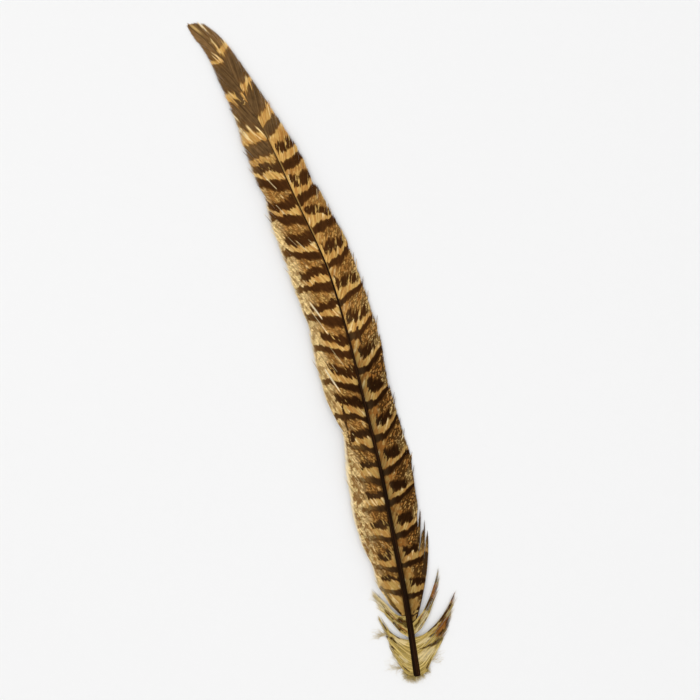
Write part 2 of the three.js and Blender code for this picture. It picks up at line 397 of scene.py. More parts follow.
def add_piece(name, vertices, faces, corner_map, marks, material, slot, node=None, flat=True):
    """A mesh object in metres that rides on the feather. marks are named vectors for its shader."""
    mesh = bpy.data.meshes.new(name)
    mesh.from_pydata(((np.asarray(vertices) + OFFSET) * MM).tolist(), [], faces)
    layer = mesh.uv_layers.new(name="OFBake")
    layer.data.foreach_set("uv", np.asarray(corner_map, np.float32).ravel())
    for key, values in marks.items():
        attribute = mesh.attributes.new(key, "FLOAT_VECTOR", "POINT")
        attribute.data.foreach_set("vector", np.asarray(values, np.float32).ravel())
    mesh.materials.append(material)
    if not flat:
        mesh.shade_smooth()
    mesh.validate()
    piece = bpy.data.objects.new(name, mesh)
    bpy.context.scene.collection.objects.link(piece)
    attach(piece, "root")
    if node:
        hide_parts(node)
    return piece


# Gaps left on the chart beside and beyond each strip, as shares of its width and length
SIDE_GAP = 0.03
END_GAP = 0.01


def barb_strips(name, centre, half_width, crown, keel, tilt, marks, rows, **rest):
    """One closed strip along each line of centre (barb, step, xyz): left edge, crown, right edge, keel."""
    barbs, steps, _ = centre.shape
    along = np.gradient(centre, axis=1)
    side = np.stack([along[..., 1], -along[..., 0], np.zeros((barbs, steps))], axis=-1)
    side /= np.linalg.norm(side, axis=-1, keepdims=True)
    up = np.array([0, 0, 1.0])
    wide = half_width[..., None] * (side + tilt[..., None] * up)
    corners = np.stack(
        [centre - wide, centre + crown[..., None] * up, centre + wide, centre - keel[..., None] * up],
        axis=2,
    )
    first = (np.arange(barbs) * steps * 4)[:, None]
    last = first + (steps - 1) * 4
    quads = (first[..., None, None] + tube_quads(steps, 4)).reshape(-1, 4)
    caps = np.vstack([first + np.array([0, 3, 2, 1]), last + np.array([0, 1, 2, 3])])
    faces = np.vstack([quads, caps])

    # The strips stand side by side on the chart, in rows
    per_row = math.ceil(barbs / rows)
    column = (np.arange(barbs) % per_row)[:, None]
    row = (np.arange(barbs) // per_row)[:, None]
    step_share = np.linspace(0, 1, steps)[None, :]
    across = np.array([0, 0.5, 1, 0.5])
    u = ((column + SIDE_GAP)[..., None] + (1 - 2 * SIDE_GAP) * across) / per_row
    v = ((row + END_GAP + (1 - 2 * END_GAP) * step_share) / rows)[..., None]
    chart = stacked(u, v).reshape(-1, 2)
    marks = {key: np.repeat(value[:, :, None, :], 4, axis=2).reshape(-1, 3) for key, value in marks.items()}
    return add_piece(name, corners.reshape(-1, 3), faces.tolist(), chart[faces.ravel()], marks, **rest)


# ---------------------------------------------------------------------------------------------------
# Materials
# ---------------------------------------------------------------------------------------------------

# Depth in metres of the relief on the barbs and on the shaft
BARB_RELIEF = 0.00004
HORN_RELIEF = 0.00006


class Shader:
    """Short ways to add nodes to one material."""

    def __init__(self, name, roughness, specular):
        self.material = bpy.data.materials.new(name)
        self.material.use_nodes = True
        self.nodes = self.material.node_tree.nodes
        self.links = self.material.node_tree.links
        self.surface = self.nodes["Principled BSDF"]
        self.surface.inputs["Roughness"].default_value = roughness
        self.surface.inputs["Specular IOR Level"].default_value = specular

    def join(self, socket, value):
        """Links a node's output to a socket, or sets the socket to a number or a colour."""
        if isinstance(value, bpy.types.NodeSocket):
            self.links.new(value, socket)
        elif hasattr(value, "__len__"):
            socket.default_value = (*value, 1.0)[:len(socket.default_value)]
        else:
            socket.default_value = value

    def mark(self, name):
        """The three numbers of a named vector on the mesh."""
        node = self.nodes.new("ShaderNodeAttribute")
        node.attribute_name = name
        split = self.nodes.new("ShaderNodeSeparateXYZ")
        self.links.new(node.outputs["Vector"], split.inputs[0])
        return split.outputs[0], split.outputs[1], split.outputs[2]

    def math(self, operation, *values):
        """The result of one operation on numbers or nodes' outputs."""
        node = self.nodes.new("ShaderNodeMath")
        node.operation = operation
        for socket, value in zip(node.inputs, values):
            self.join(socket, value)
        return node.outputs[0]

    def product(self, first, *others):
        """All the values multiplied."""
        total = first
        for value in others:
            total = self.math("MULTIPLY", total, value)
        return total

    def gap(self, value, middle):
        """How far the value is from a middle."""
        return self.math("ABSOLUTE", self.math("SUBTRACT", value, middle))

    def weighted(self, start, *terms):
        """start plus the sum of each value times its weight."""
        total = start
        for value, weight in terms:
            total = self.math("MULTIPLY_ADD", value, weight, total)
        return total

    def step(self, value, low, high):
        """0 where value is below low, 1 where it is above high, and an even curve between."""
        node = self.nodes.new("ShaderNodeMapRange")
        node.interpolation_type = "SMOOTHSTEP"
        for key, given in (("Value", value), ("From Min", low), ("From Max", high)):
            self.join(node.inputs[key], given)
        return node.outputs[0]

    def grain(self, first, first_size, second, second_size, detail=2.0, seed=0.0):
        """Noise over two lengths, with cells of about the given sizes in millimetres."""
        node = self.nodes.new("ShaderNodeCombineXYZ")
        self.join(node.inputs[0], self.math("MULTIPLY", first, 1 / first_size))
        self.join(node.inputs[1], self.math("MULTIPLY", second, 1 / second_size))
        self.join(node.inputs[2], seed)
        noise = self.nodes.new("ShaderNodeTexNoise")
        noise.inputs["Scale"].default_value = 1.0
        noise.inputs["Detail"].default_value = detail
        self.links.new(node.outputs[0], noise.inputs["Vector"])
        return noise.outputs["Fac"]

    def mix(self, share, first, second):
        """The first colour where share is 0, the second where it is 1."""
        node = self.nodes.new("ShaderNodeMix")
        node.data_type = "RGBA"
        for key, value in ((0, share), (6, first), (7, second)):
            self.join(node.inputs[key], value)
        return node.outputs[2]

    def scaled(self, colour, factor):
        """A colour made lighter or darker by a factor."""
        node = self.nodes.new("ShaderNodeVectorMath")
        node.operation = "SCALE"
        self.join(node.inputs[0], colour)
        self.join(node.inputs["Scale"], factor)
        return node.outputs[0]

    def finish(self, colour, relief=None, distance=0.0):
        """The material with its colour set, and a fine relief if one is given."""
        self.join(self.surface.inputs["Base Color"], colour)
        if relief is not None:
            bump = self.nodes.new("ShaderNodeBump")
            bump.inputs["Distance"].default_value = distance
            bump.inputs["Strength"].default_value = 0.5
            self.join(bump.inputs["Height"], relief)
            self.links.new(bump.outputs[0], self.surface.inputs["Normal"])
        return self.material


def web_fields(shader):
    """What the web's colours are worked out from: marks on the mesh, noise along the barbs, and zones."""
    web = SimpleNamespace()
    web.station, web.reach, web.root = shader.mark("plan")
    # tone holds each barb's random brightness and the painted shade beside the shaft.
    web.phase, web.tip, web.tone = shader.mark("bars")
    web.pale, web.speckle, web.blotch = shader.mark("zone")
    web.solid, web.grey, web.lower = shader.mark("depth")
    web.thread = shader.grain(web.root, 0.45, web.reach, 4.0, seed=8.1)
    web.torn = shader.grain(web.root, 2.4, web.reach, 3.2, detail=3.0, seed=2.9)
    web.streak = shader.grain(web.root, 1.5, web.reach, 2.6, detail=3.0, seed=4.4)
    web.patch = shader.grain(web.station, 1.9, web.reach, 1.6, detail=3.0, seed=1.3)
    web.stripes = shader.step(web.streak, 0.42, 0.60)
    web.right = shader.step(web.reach, -1, 1)
    web.redder = shader.product(web.right, web.lower)
    web.cycle = bar_cycle(shader, web)
    web.from_solid = shader.gap(web.cycle, 0.5)
    web.specks = speck_share(shader, web)
    return web


def bar_cycle(shader, web):
    """A number that is 0.5 in the middle of a solid bar and 0 or 1 in the middle of a broken one.

    The bars' edges run out along the barbs, further on the broken bars than on the solid ones.
    """
    even = shader.math("FRACT", shader.weighted(0.5, (web.phase, 0.5)))
    run = shader.weighted(0.10, (shader.gap(even, 0.5), 0.55))
    pushed = shader.product(shader.weighted(-0.58, (web.torn, 1.0), (web.thread, 0.16)), run)
    return shader.math("FRACT", shader.weighted(0.5, (web.phase, 0.5), (pushed, 1.0)))


def speck_share(shader, web):
    """Squiggly flecks, wider on the lower part of the right web."""
    weave = shader.weighted(shader.product(web.station, 0.6), (web.root, 0.4))
    squiggle = shader.grain(weave, 1.15, web.reach, 1.35, detail=1.2, seed=6.2)
    inner = shader.weighted(0.070, (web.redder, 0.022))
    outer = shader.weighted(0.040, (inner, 1.0))
    return shader.product(shader.step(shader.gap(squiggle, 0.5), outer, inner), web.speckle)


def dark_share(shader, web):
    """Where the bars are dark: solid bars whole, broken ones in ragged blotches, neither in pale gaps."""
    in_solid = shader.product(shader.step(web.from_solid, 0.150, 0.116), web.solid)
    in_broken = shader.step(web.from_solid, 0.345, 0.385)
    ragged = shader.step(shader.weighted(web.streak, (web.blotch, 0.50), (web.patch, 0.18)), 0.84, 0.94)
    broken = shader.product(in_broken, shader.math("MAXIMUM", web.tip, ragged))
    whole = shader.step(web.pale, 1.5, 1.1)
    bleached = shader.weighted(1.0, (shader.product(web.tip, web.pale), -0.9))
    return shader.product(shader.math("MAXIMUM", in_solid, broken), whole, bleached)


def golden_colour(shader, web, colours):
    """Tan below each bar and rust above it, with brown flecks, and duller near the quill."""
    tan = shader.mix(web.lower, colours.tan, shader.scaled(colours.tan, 0.80))
    tan = shader.mix(shader.product(web.stripes, 0.75), tan, shader.scaled(colours.rust, 1.05))
    tan = shader.mix(shader.step(web.torn, 0.44, 0.30), tan, colours.cream)
    spots = shader.step(web.patch, 0.45, 0.58)
    rust = shader.mix(shader.product(spots, 0.8), colours.rust, tan)
    rust = shader.mix(shader.product(web.stripes, 0.35), rust, shader.scaled(colours.rust, 0.4))

    below_tip = shader.math("SUBTRACT", 1.0, web.tip)
    above_broken = shader.step(web.cycle, 0.06, 0.14)
    above_bar = shader.product(shader.step(web.cycle, 0.47, 0.44), below_tip, above_broken)
    worn = shader.step(web.station, 52, 36)
    rusting = shader.product(above_bar, shader.weighted(0.7, (worn, -0.4), (web.redder, 0.45)))
    golden = shader.mix(rusting, tan, rust)
    golden = shader.mix(shader.product(worn, 0.3), golden, shader.scaled(colours.olive, 0.9))
    flecks = shader.product(web.specks, shader.weighted(0.10, (above_bar, 0.88)))
    fleck_colour = shader.scaled(colours.rust, shader.weighted(0.27, (web.redder, -0.09)))
    return shader.mix(flecks, golden, fleck_colour)


def cream_colour(shader, web, colours):
    """Cream of the pale zones, flecked, striped and mottled with brown."""
    brown = shader.mix(web.right, shader.scaled(colours.rust, 0.50), colours.bar)
    cream = shader.mix(shader.product(web.right, 0.55), colours.cream, colours.tan)
    fine = shader.product(web.specks, shader.weighted(0.62, (web.right, 0.33)))
    cream = shader.mix(fine, cream, brown)
    cream = shader.mix(shader.product(web.stripes, 0.4), cream, shader.scaled(colours.olive, 0.66))
    mottled = shader.step(shader.weighted(web.patch, (web.streak, 0.5)), 0.74, 0.82)
    return shader.mix(shader.product(mottled, web.speckle, 0.88), cream, brown)


def bar_colour(shader, web, colours):
    """Brown of the bars: darker low down, softer at the tip, greyer where faded, redder at their rims."""
    bar = shader.mix(web.lower, colours.bar, shader.scaled(colours.bar, 0.45))
    tip = shader.mix(shader.step(web.station, 262, 280), colours.tip, shader.scaled(colours.tip, 1.5))
    tip = shader.scaled(tip, shader.weighted(-0.10, (web.torn, 1.0), (web.streak, 1.2)))
    bar = shader.mix(web.tip, bar, tip)
    faded_in_cream = shader.mix(0.5, colours.tip, shader.scaled(colours.rust, 0.4))
    faded = shader.mix(web.pale, shader.scaled(colours.tip, 0.62), faded_in_cream)
    bar = shader.mix(web.grey, bar, faded)
    rim = shader.product(shader.step(web.from_solid, 0.07, 0.13), shader.step(web.from_solid, 0.43, 0.37))
    bar = shader.mix(shader.product(rim, 0.55), bar, shader.scaled(colours.rust, 0.40))
    return shader.scaled(bar, shader.weighted(0.25, (web.patch, 0.85), (web.streak, 0.65)))


def shaft_highlight_and_shadow_lines(shader, web):
    """Where the shaft is thin: a painted highlight line along its right side, and a painted shadow line along
    its left side.
    """
    upper = shader.product(shader.step(web.station, 150, 180), shader.step(web.station, 240, 226))
    # A painted highlight line just right of the shaft's centre line, and a band of painted shadow to its
    # left.
    from_line = shader.gap(web.reach, 0.36)
    pale = shader.product(shader.step(from_line, 0.40, 0.20), upper)
    beside = shader.product(shader.step(from_line, 0.42, 0.60), shader.step(from_line, 1.15, 0.85))
    return pale, shader.product(beside, upper, shader.step(web.reach, 0.1, -0.1))


def web_material(colours):
    """Barred web. Even phases are solid bars, odd ones broken bars, with tan below them and rust above."""
    shader = Shader("barred_web", roughness=0.85, specular=0.02)
    web = web_fields(shader)
    light = shader.mix(web.pale, golden_colour(shader, web, colours), cream_colour(shader, web, colours))
    # bleached is the near white of the left web's palest outer edge and of the paint beside the slits, which
    # is partly painted light through the gaps.
    bleached = shader.mix(0.5, colours.cream, colours.down)
    light = shader.mix(shader.step(web.pale, 1.1, 1.7), light, bleached)
    colour = shader.mix(dark_share(shader, web), light, bar_colour(shader, web, colours))
    # Painted highlight and painted shadow on the barbs beside the thin upper shaft.
    painted_highlight_line, painted_shadow_line = shaft_highlight_and_shadow_lines(shader, web)
    colour = shader.mix(shader.product(painted_highlight_line, 0.5), colour, shader.scaled(colours.tan, 0.78))
    colour = shader.mix(shader.product(painted_shadow_line, 0.75), colour, shader.scaled(colours.rust, 0.22))
    # Through tone, shade also carries the painted shade beside the shaft, besides random brightness.
    shade = shader.weighted(-0.22, (web.tone, 1.0), (web.thread, 0.44), (web.lower, -0.13))
    return shader.finish(shader.scaled(colour, shade), web.thread, BARB_RELIEF)


def tuft_material(colours):
    """Olive tan of the loose barbs, streaked along them, with brown, rust and cream marks."""
    shader = Shader("loose_barbs", roughness=0.85, specular=0.02)
    station, reach, root = shader.mark("plan")
    brown, rust, cream = shader.mark("marks")
    tone = shader.mark("tone")[0]
    patch = shader.grain(station, 1.8, reach, 1.8, detail=3.0, seed=3.1)
    thread = shader.grain(root, 0.3, reach, 5.0, seed=7.4)
    streak = shader.grain(root, 1.0, reach, 5.0, detail=3.0, seed=2.3)
    torn = shader.weighted(-1.55, (patch, 1.2), (streak, 1.0), (thread, 0.6), (tone, 0.3))
    light = shader.mix(0.28, colours.straw, colours.down)
    base = shader.mix(shader.step(streak, 0.62, 0.40), shader.scaled(colours.olive, 0.62), colours.olive)
    base = shader.mix(shader.step(shader.weighted(thread, (tone, 0.5)), 0.60, 0.95), base, colours.straw)
    colour = shader.mix(shader.step(shader.weighted(torn, (cream, 1.0)), 0.10, 0.60), base, light)
    rusty = shader.step(shader.weighted(torn, (rust, 1.0)), 0.20, 0.60)
    colour = shader.mix(rusty, colour, shader.mix(streak, colours.rust, shader.scaled(colours.bar, 2.0)))
    darkened = shader.step(shader.weighted(torn, (brown, 1.0)), 0.30, 0.62)
    dark, dull = shader.scaled(colours.bar, 1.1), shader.scaled(colours.olive, 0.3)
    colour = shader.mix(darkened, colour, shader.mix(shader.step(streak, 0.45, 0.65), dark, dull))
    shade = shader.weighted(0.22, (tone, 0.42), (thread, 0.55), (streak, 0.65))
    return shader.finish(shader.scaled(colour, shade), thread, BARB_RELIEF)


def down_material(colours):
    """Pale down, yellower below the quill and browner in places."""
    shader = Shader("quill_down_pale", roughness=0.9, specular=0.08)
    station, reach, root = shader.mark("plan")
    hue = shader.step(shader.grain(root, 1.0, reach, 3.0, seed=5.5), 0.35, 0.65)
    from_quill = shader.gap(station, 0.9)
    pale = shader.mix(shader.step(from_quill, 2.4, 1.0), colours.down, shader.scaled(colours.straw, 0.8))
    return shader.finish(shader.mix(hue, pale, shader.mix(0.3, colours.straw, colours.tip)))


def shaft_material(colours):
    """Near black horn, streaked along its length, with a painted highlight along its right side on its thin
    upper part.
    """
    shader = Shader("shaft_horn", roughness=0.5, specular=0.025)
    station, around, side = shader.mark("plan")
    streak = shader.grain(station, 30.0, around, 0.35, detail=3.0, seed=1.7)
    mottle = shader.grain(station, 2.6, around, 0.8, seed=2.2)
    horn = shader.mix(shader.step(streak, 0.45, 0.75), colours.shaft, shader.scaled(colours.bar, 0.8))
    upper = shader.product(shader.step(station, 172, 190), shader.step(station, 240, 226))
    # Painted highlight: tan along the shaft's right side on its thin upper part.
    edge = shader.product(upper, shader.step(shader.weighted(side, (mottle, 0.5)), 0.95, 1.15))
    browned = shader.mix(shader.step(station, 205, 250), horn, shader.scaled(colours.tip, 0.8))
    return shader.finish(shader.mix(edge, browned, shader.scaled(colours.tan, 0.8)), streak, HORN_RELIEF)


def floor_material(settings):
    """Plain pale floor with a faint unevenness."""
    shader = Shader("floor", roughness=0.9, specular=0.1)
    coordinates = shader.nodes.new("ShaderNodeTexCoord")
    noise = shader.nodes.new("ShaderNodeTexNoise")
    noise.inputs["Scale"].default_value = 3.0
    shader.links.new(coordinates.outputs["Object"], noise.inputs["Vector"])
    shade = shader.weighted(0.99, (noise.outputs["Fac"], 0.02))
    return shader.finish(shader.scaled(tuple(settings.floor), shade))


def material(name, make):
    """The named material, made once."""
    return bpy.data.materials.get(name) or make(bpy.context.scene.feather_colours)


# ---------------------------------------------------------------------------------------------------
# Shaft
# ---------------------------------------------------------------------------------------------------

def build_shaft():
    """A tapering oval rod with an open quill end, a closed tip and a groove underneath."""
    sides = 24
    side_rings = [(SHAFT_LENGTH * share, 1.0) for share in np.linspace(0.006, 1, 170)]
    stations, scales = np.array([*QUILL_MOUTH, *side_rings, SHAFT_TIP], float).T
    rings = shaft_rings(stations, scales, sides)
    count = len(stations)
    faces = tube_quads(count, sides).reshape(-1, 4).tolist()
    last = (count - 1) * sides
    faces.append([sides - 1 - side for side in range(sides)])
    faces.append([last + side for side in range(sides)])
    ring_share = np.linspace(0, 1, count)
    chart = []
    for ring in range(count - 1):
        for side in range(sides):
            u0, u1 = side / sides, (side + 1) / sides
            v0, v1 = ring_share[ring], ring_share[ring + 1]
            chart += [(u0, v0), (u1, v0), (u1, v1), (u0, v1)]
    # The face that closes each end takes only a speck of the chart
    for end in (0.001, 0.999):
        chart += [(0.5 + 0.001 * math.cos(k), end) for k in range(sides)]
    angle = np.pi * (1 - 2 * np.arange(sides) / sides)
    marks = stacked(stations[:, None], angle, np.cos(angle)).reshape(-1, 3)
    return add_piece(
        "quill_and_shaft", rings.reshape(-1, 3), faces, chart, {"plan": marks},
        material("shaft_horn", shaft_material), "quill", "shaft", flat=False,
    )


# ---------------------------------------------------------------------------------------------------
# Webs
# ---------------------------------------------------------------------------------------------------

LEFT_WEB = {
    "piece": "left_web", "node": "left_vane", "side": -1, "edge": LEFT_EDGE, "bars": LEFT_BARS,
    "slits": LEFT_SLITS, "span": 16.5, "droop": 0.5, "roots": (22.6, 287.5), "lean": 2.1, "low_lean": 0.33,
    "sweep": 0.02, "fray": 0.06, "seed": 11, "free": (), "dark_rim": 1.6, "soft_tip": (214, 232),
}
RIGHT_WEB = {
    "piece": "right_web", "node": "right_vane", "side": 1, "edge": RIGHT_EDGE, "bars": RIGHT_BARS,
    "slits": RIGHT_SLITS, "span": 13.5, "droop": 0.93, "roots": (17.8, 287.5), "lean": 1.75, "low_lean": -0.2,
    "sweep": 0.025, "fray": 0.04, "seed": 23, "free": FREE_STRANDS, "dark_rim": 1.0,
    "soft_tip": (226, 238),
}
BARB_STEPS = 34

# How much more the barbs lean at the feather's tip, and the length of shaft over which that fades
TIP_LEAN = 9.0
TIP_LEAN_LENGTH = 35.0

# Where a barb starts inside the shaft, as a share of the shaft's width from its centre line
BARB_START_PER_WIDTH = 0.3

# Half a barb's width, as a share of the distance to the next barb. Above a half they overlap.
BARB_OVERLAP = 0.62

# Unevenness of the barbs' ends in millimetres, where they lean as much as END_LEAN
UNEVEN_ENDS = 0.13
END_LEAN = 2.2

# Stray barbs: their share of all barbs, and how far they stand out from the web's edge
STRAY_SHARE = 0.035
STRAY_LENGTHS = (0.5, 1.2)

# Waves along a web: their height at a reach of WAVE_REACH, and the length of shaft per radian
WAVE_HEIGHT = 0.18
WAVE_REACH = 12
WAVE_LENGTH = 11

# Lowest that the middle of a web's barb lies above the surface
LOWEST_BARB = 0.12

# The longest reach that is searched for a barb's end, and the step of that search
LONGEST_REACH = 20
REACH_STEP = 0.05


def patchy(random, first, first_cell, second, second_cell):
    """Smooth random numbers from -1 to 1 that change over a cell of each of the two lengths."""
    a, b = np.broadcast_arrays((first - first.min()) / first_cell, (second - second.min()) / second_cell)
    grid = random.uniform(-1, 1, (int(a.max()) + 2, int(b.max()) + 2))
    i, j = a.astype(int), b.astype(int)
    u, v = smooth(a - i, 0, 1), smooth(b - j, 0, 1)
    low = grid[i, j] * (1 - u) + grid[i + 1, j] * u
    high = grid[i, j + 1] * (1 - u) + grid[i + 1, j + 1] * u
    return low * (1 - v) + high * v


def lean_at(web, root):
    """How many millimetres a barb runs towards the tip for each millimetre that it runs out."""
    to_tip = SHAFT_LENGTH - root
    low = 1 - web["low_lean"] * np.exp(-(root - web["roots"][0]) / 15)
    return web["lean"] * low + TIP_LEAN * np.exp(-to_tip / TIP_LEAN_LENGTH)


def barb_station(web, root, reach):
    """Station of each barb where it is at a reach. The free ones bend towards the tip."""
    station = root + lean_at(web, root) * (0.8 * reach + web["sweep"] * reach ** 2)
    for low, high, start, sweep, *_ in web["free"]:
        station = station + sweep * np.maximum(reach - start, 0) ** 1.3 * ((root >= low) & (root < high))
    return station


def barb_roots(web, pitch):
    """Stations where barbs leave the shaft, one pitch apart measured across them."""
    roots = [web["roots"][0]]
    while roots[-1] < web["roots"][1]:
        slope = 0.8 * lean_at(web, roots[-1])
        roots.append(roots[-1] + pitch * math.hypot(1, slope))
    return np.array(roots[:-1])


def edge_at(web, station):
    """Reach of the web's outer edge at a station."""
    edge_station, edge_reach = np.array(web["edge"], float).T
    return np.interp(station, edge_station, edge_reach)


def barb_ends(web, roots):
    """Reach at which each barb meets the web's outer edge."""
    reach = np.linspace(0, LONGEST_REACH, round(LONGEST_REACH / REACH_STEP) + 1)[None, :]
    station = barb_station(web, roots[:, None], reach)
    edge = edge_at(web, station)
    for low, high, _, _, end, _ in web["free"]:
        free = (roots[:, None] >= low) & (roots[:, None] < high)
        edge = np.where(free & (station > 40), end, edge)
    # The edge starts close to the shaft, so other than at the tip it is looked for from 3 mm outwards
    at_tip = station > web["edge"][-1][0] - 6
    outside = (reach > edge + 0.15) & ((reach >= 3) | at_tip)
    return np.maximum(reach[0, np.argmax(outside, axis=1)], 0.6 * shaft_width(roots) + 0.1)


def clumps(roots, random):
    """Groups of neighbouring barbs: each barb's distance from its group's middle, and three numbers."""
    offset = np.zeros_like(roots)
    pull = np.zeros_like(roots)
    lift = np.zeros_like(roots)
    nick = np.zeros_like(roots)
    start = 0
    while start < len(roots):
        end = min(len(roots), start + random.integers(5, 15))
        group = slice(start, end)
        offset[group] = roots[group] - roots[group].mean()
        pull[group] = random.uniform(0.0, 0.07)
        lift[group] = random.normal(0, 0.08)
        nick[group] = abs(random.normal(0, 0.20))
        start = end
    return offset, pull, lift, nick


def slit_shift(web, roots, reach):
    """Shift towards the tip that opens each slit between two barbs, and how pale the barbs close to one are
    painted: partly their own pale edges, partly painted light showing through the gap.
    """
    shift = np.zeros((len(roots), reach.shape[1]))
    slit_edge_and_light = np.zeros_like(shift)
    for station, start, end, width in web["slits"]:
        root = station
        for _ in range(12):
            root += station - barb_station(web, root, start)
        slope = lean_at(web, root) * (0.8 + web["sweep"] * (start + end))
        apart = (roots - root)[:, None]
        share = np.clip((reach - start) / (end - start), 0, 1)
        opening = np.sin(np.pi * share ** 1.3) * 0.3 * max(width - 0.42, 0) * math.hypot(1, slope)
        shift += np.sign(apart) * opening * np.exp(-np.abs(apart) / 3.5)
        # Barbs beside a slit are painted pale, partly their own pale edges and partly painted light showing
        # through the gap; narrow slits are only painted and do not open.
        near = smooth(np.abs(apart) / math.hypot(1, slope), 0.16 + 0.26 * width, 0.08)
        painted = near * smooth(np.sin(np.pi * share), 0, 0.35) * (1.1 + 0.7 * width)
        slit_edge_and_light = np.maximum(slit_edge_and_light, painted)
    return shift, slit_edge_and_light


def bar_phase(web, station, reach):
    """A number that is whole at the middle of each bar and a quarter off it at the bar's edges."""
    edges = []
    for *middle, near, far in web["bars"]:
        middle = np.interp(reach, BAR_REACHES, middle)
        half = near + (far - near) * smooth(reach, 2, 12)
        edges += [middle - half, middle + half]
    edges = np.stack(edges)
    below = np.clip((edges < station).sum(axis=0) - 1, 0, len(edges) - 2)
    low, high = (np.take_along_axis(edges, index[None], axis=0)[0] for index in (below, below + 1))
    return 0.5 * below - 0.25 + 0.5 * (station - low) / np.maximum(high - low, 0.2) - 1


# Dark streaks on the webs: station and reach of both ends, half width, and how grey-brown each is
DARK_STREAKS = {
    -1: (
        (116, 9.0, 99, 9.7, 0.40, 0.2), (98.6, 8.0, 91, 4.2, 0.28, 0.1), (76.6, 12.4, 77.2, 9.4, 1.5, 1.0),
        (160.5, 14.6, 151, 14.4, 0.35, 0.5), (134.5, 11.5, 131, 9.0, 0.3, 0.3),
        (257, 2.2, 250, 1.9, 0.95, 0.0),
    ),
    1: ((146, 4.6, 139, 4.4, 0.35, 0.4), (49.0, 11.7, 41.0, 9.3, 0.9, 0.55), (62, 11.6, 54, 10.0, 0.6, 0.5)),
}

# Pale patches on the webs: station, reach, radius along the shaft, radius outwards
PALE_PATCHES = {
    -1: ((241, 9.2, 6.0, 1.3), (192, 12.5, 3.0, 1.8), (170, 13.0, 2.2, 1.6), (157, 10.0, 3.5, 1.2)),
    1: ((287, 0.8, 3.2, 0.5), (278, 1.2, 0.5, 0.4), (52.2, 11.4, 0.9, 1.0)),
}


def along_line(station, reach, station_0, reach_0, station_1, reach_1, wide):
    """Distance from the line between two points, in half widths of the line."""
    point = station + 1j * reach
    start, end = station_0 + 1j * reach_0, station_1 + 1j * reach_1
    share = np.clip(((point - start) / (end - start)).real, 0, 1)
    return np.abs(point - start - share * (end - start)) / wide


def left_marks(station, reach, share, _phase):
    """Pale, speckle, blotch, solid, grey and lower of the left web, which has a wide pale outer zone."""
    low = smooth(station, 116, 90)
    rim = (0.45 + 0.40 * low) * smooth(share, 0.90 - 0.03 * low, 1)
    pale = smooth(reach, 8.8 - 2.8 * low, 13.2 - 2.2 * low) + rim
    speckle = (0.68 + 0.22 * low) * smooth(station, 34, 48)
    blotch = smooth(reach, 13.5 - 4.0 * low, 10 - 3.0 * low) * (1 - 0.2 * smooth(station, 76, 66))
    solid = smooth(reach, 16.5 - 3.0 * low, 13.5 - 5.0 * low) * (1 - 0.3 * low * smooth(reach, 3, 7))
    grey = np.maximum(0.35 * low, 0.7 * smooth(reach, 8.5, 13.5))
    lower = (0.85 - 0.45 * smooth(reach, 6, 10)) * smooth(station, 140, 115)
    return pale, speckle, blotch, solid, grey, lower


def right_marks(station, reach, share, phase):
    """The same of the right web, which is pale only at its edge and where its broken bars end."""
    low = smooth(station, 150, 130)
    beside_broken = smooth(np.abs(phase % 2 - 1), 0.5, 0.2)
    hooks = beside_broken * smooth(reach, 7.8, 9.2) * smooth(station, 200, 170)
    pale = np.maximum(0.55 * smooth(share, 0.86, 1.0), 0.85 * hooks)
    speckled = smooth(reach, 2.2 + 1.5 * low, 4.5 + 1.5 * low) * smooth(station, 222, 185)
    blotched = smooth(reach, 0.5 + 0.7 * low, 1.6 + 2.6 * low) * smooth(reach, 12.5 - 2 * low, 9.5 - low)
    solid = np.ones_like(reach)
    grey = 0.75 * smooth(reach, 4.5, 1.5) * smooth(station, 168, 145)
    lower = smooth(station, 150, 125)
    return pale, speckled * (0.8 + 0.2 * low), blotched * (0.84 + 0.16 * low), solid, grey, lower


def web_marks(web, station, reach, share, phase):
    """How pale, speckled and broken the web is, how strong and how grey its solid bars are, and how low."""
    side_marks = left_marks if web["side"] < 0 else right_marks
    pale, speckle, blotch, solid, grey, lower = side_marks(station, reach, share, phase)
    pale = pale * smooth(station, 236, 212)
    for *streak, greyness in DARK_STREAKS[web["side"]]:
        grey = np.where(along_line(station, reach, *streak) < 1.2, greyness, grey)
    for middle, out, tall, wide in PALE_PATCHES[web["side"]]:
        spread = ((station - middle) / tall) ** 2 + ((reach - out) / wide) ** 2
        pale = np.maximum(pale, 0.9 * np.exp(-spread))
    return np.stack([pale, speckle, blotch], axis=-1), np.stack([solid, grey, lower], axis=-1)


def torn_phase(web, random, root, station, reach, free):
    """Bar phase with uneven bar edges, a dark rim low down, dark streaks and dark free strands."""
    jag = 0.55 * patchy(random, root, 3.2, reach, 6) + 0.30 * patchy(random, root, 1.3, reach, 3)
    jag += 0.6 * patchy(random, station, 7, reach, 5)
    off_solid = np.abs((bar_phase(web, station, reach) + 1) % 2 - 1)
    jag *= 0.85 + 0.9 * off_solid * smooth(station, 240, 225)
    jag *= 1 - 0.35 * (web["side"] > 0) * smooth(station, 160, 140)
    phase = bar_phase(web, station + jag, reach)
    in_from_edge = edge_at(web, station) - reach
    outer = 0.6 * smooth(station, 30, 33) * (web["side"] < 0)
    in_rim = (station < 39.5) & (in_from_edge < web["dark_rim"]) & (in_from_edge > outer) & (reach > 2.6)
    phase = np.where(in_rim, 0, phase)
    for *streak, _ in DARK_STREAKS[web["side"]]:
        in_streak = along_line(station, reach, *streak) + 0.5 * patchy(random, station, 1.5, reach, 1.5) < 0.9
        phase = np.where(in_streak, 2 * np.round(phase / 2), phase)
    return np.where(free > 0.1, 0, phase)


